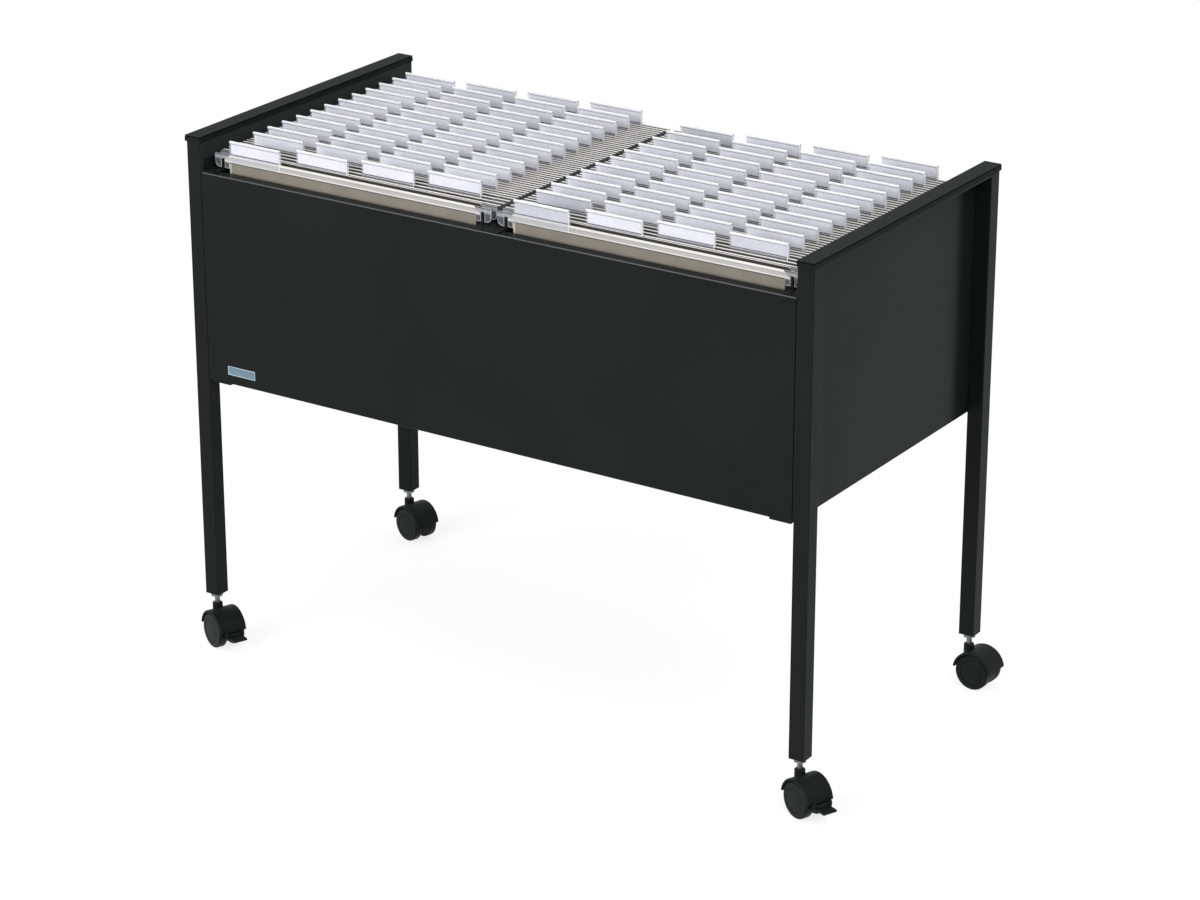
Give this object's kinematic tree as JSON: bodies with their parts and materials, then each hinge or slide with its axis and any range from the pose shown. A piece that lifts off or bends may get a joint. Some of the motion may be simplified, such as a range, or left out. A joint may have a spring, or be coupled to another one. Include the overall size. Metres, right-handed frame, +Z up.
{
  "type": "hanging file trolley",
  "caption": "Black steel trolley on swivel casters, open on top, with two bays of hanging files on rails and blank tabs.",
  "frame": {"origin": "on the floor, under the middle of the frame in plan", "axes": "+X to the right seen from the front, along the long side; +Y to the back; +Z up"},
  "size_m": [0.8222, 0.4112, 0.592],
  "materials": {
    "black_steel": "satin black powder coat",
    "black_cap": "satin black powder coat, a little lighter",
    "black_plastic": "moulded, fine grain",
    "wheel_plastic": "moulded, smooth",
    "zinc_steel": "bright zinc",
    "plate_aluminium": "brushed",
    "card_stock": "smooth folder card",
    "bar_white": "white ribbed profile",
    "hook_clear": "clear moulded",
    "tab_clear": "clear folded sheet",
    "label_paper": "plain white paper"
  },
  "bodies": {
    "frame": {"leg_front_left": "black_steel", "leg_front_right": "black_steel", "leg_back_right": "black_steel", "leg_back_left": "black_steel", "top_rail_left": "black_steel", "cap_strip_left": "black_cap", "side_panel_left": "black_steel", "side_rail_left": "black_steel", "top_rail_right": "black_steel", "cap_strip_right": "black_cap", "side_panel_right": "black_steel", "side_rail_right": "black_steel", "front_panel": "black_steel", "back_panel": "black_steel", "centre_rail_beam": "black_steel", "name_plate": "plate_aluminium", "corner_brackets": "black_steel", "leg_plugs": "black_plastic", "caster_stems": "zinc_steel", "panel_screws": "zinc_steel"},
    "caster_front_left": {"caster_hood_front_left": "black_plastic", "caster_axle_front_left": "zinc_steel"},
    "wheel_a_front_left": {"wheel_a_front_left": "wheel_plastic"},
    "wheel_b_front_left": {"wheel_b_front_left": "wheel_plastic"},
    "brake_front_left": {"brake_lever_front_left": "black_plastic"},
    "caster_front_right": {"caster_hood_front_right": "black_plastic", "caster_axle_front_right": "zinc_steel"},
    "wheel_a_front_right": {"wheel_a_front_right": "wheel_plastic"},
    "wheel_b_front_right": {"wheel_b_front_right": "wheel_plastic"},
    "brake_front_right": {"brake_lever_front_right": "black_plastic"},
    "caster_back_right": {"caster_hood_back_right": "black_plastic", "caster_axle_back_right": "zinc_steel"},
    "wheel_a_back_right": {"wheel_a_back_right": "wheel_plastic"},
    "wheel_b_back_right": {"wheel_b_back_right": "wheel_plastic"},
    "caster_back_left": {"caster_hood_back_left": "black_plastic", "caster_axle_back_left": "zinc_steel"},
    "wheel_a_back_left": {"wheel_a_back_left": "wheel_plastic"},
    "wheel_b_back_left": {"wheel_b_back_left": "wheel_plastic"},
    "front_file_left": {"front_file_card_left": "card_stock", "front_file_bars_left": "bar_white", "front_file_hooks_left": "hook_clear", "front_file_tab_left": "tab_clear", "front_file_label_left": "label_paper"},
    "files_left": {"file_cards_left": "card_stock", "file_bars_left": "bar_white", "file_hooks_left": "hook_clear", "file_tabs_left": "tab_clear", "file_labels_left": "label_paper"},
    "front_file_right": {"front_file_card_right": "card_stock", "front_file_bars_right": "bar_white", "front_file_hooks_right": "hook_clear", "front_file_tab_right": "tab_clear", "front_file_label_right": "label_paper"},
    "files_right": {"file_cards_right": "card_stock", "file_bars_right": "bar_white", "file_hooks_right": "hook_clear", "file_tabs_right": "tab_clear", "file_labels_right": "label_paper"}
  },
  "joints": [
    {"name": "swivel_front_left", "type": "hinge", "parent": "frame", "child": "caster_front_left", "pos_m": [-0.3775, -0.182, 0.045], "axis": [0, 0, 1], "continuous": true},
    {"name": "roll_a_front_left", "type": "hinge", "parent": "caster_front_left", "child": "wheel_a_front_left", "pos_m": [-0.36582, -0.18698, 0.02], "axis": [0.3923, 0.9198, 0], "continuous": true},
    {"name": "roll_b_front_left", "type": "hinge", "parent": "caster_front_left", "child": "wheel_b_front_left", "pos_m": [-0.36582, -0.18698, 0.02], "axis": [0.3923, 0.9198, 0], "continuous": true},
    {"name": "brake_front_left", "type": "hinge", "parent": "caster_front_left", "child": "brake_front_left", "pos_m": [-0.3431, -0.19667, 0.02], "axis": [0.3923, 0.9198, 0], "range_deg": [0, 11]},
    {"name": "swivel_front_right", "type": "hinge", "parent": "frame", "child": "caster_front_right", "pos_m": [0.3775, -0.182, 0.045], "axis": [0, 0, 1], "continuous": true},
    {"name": "roll_a_front_right", "type": "hinge", "parent": "caster_front_right", "child": "wheel_a_front_right", "pos_m": [0.38922, -0.18688, 0.02], "axis": [0.3843, 0.9232, 0], "continuous": true},
    {"name": "roll_b_front_right", "type": "hinge", "parent": "caster_front_right", "child": "wheel_b_front_right", "pos_m": [0.38922, -0.18688, 0.02], "axis": [0.3843, 0.9232, 0], "continuous": true},
    {"name": "brake_front_right", "type": "hinge", "parent": "caster_front_right", "child": "brake_front_right", "pos_m": [0.41203, -0.19637, 0.02], "axis": [0.3843, 0.9232, 0], "range_deg": [0, 11]},
    {"name": "swivel_back_right", "type": "hinge", "parent": "frame", "child": "caster_back_right", "pos_m": [0.3775, 0.182, 0.045], "axis": [0, 0, 1], "continuous": true},
    {"name": "roll_a_back_right", "type": "hinge", "parent": "caster_back_right", "child": "wheel_a_back_right", "pos_m": [0.39018, 0.18136, 0.02], "axis": [0.0506, 0.9987, 0], "continuous": true},
    {"name": "roll_b_back_right", "type": "hinge", "parent": "caster_back_right", "child": "wheel_b_back_right", "pos_m": [0.39018, 0.18136, 0.02], "axis": [0.0506, 0.9987, 0], "continuous": true},
    {"name": "swivel_back_left", "type": "hinge", "parent": "frame", "child": "caster_back_left", "pos_m": [-0.3775, 0.182, 0.045], "axis": [0, 0, 1], "continuous": true},
    {"name": "roll_a_back_left", "type": "hinge", "parent": "caster_back_left", "child": "wheel_a_back_left", "pos_m": [-0.3653, 0.17846, 0.02], "axis": [0.279, 0.9603, 0], "continuous": true},
    {"name": "roll_b_back_left", "type": "hinge", "parent": "caster_back_left", "child": "wheel_b_back_left", "pos_m": [-0.3653, 0.17846, 0.02], "axis": [0.279, 0.9603, 0], "continuous": true},
    {"name": "lift_front_file_left", "type": "slide", "parent": "frame", "child": "front_file_left", "axis": [0, 0, 1], "range_m": [0, 0.27]},
    {"name": "lift_files_left", "type": "slide", "parent": "frame", "child": "files_left", "axis": [0, 0, 1], "range_m": [0, 0.27]},
    {"name": "lift_front_file_right", "type": "slide", "parent": "frame", "child": "front_file_right", "axis": [0, 0, 1], "range_m": [0, 0.27]},
    {"name": "lift_files_right", "type": "slide", "parent": "frame", "child": "files_right", "axis": [0, 0, 1], "range_m": [0, 0.27]}
  ]
}
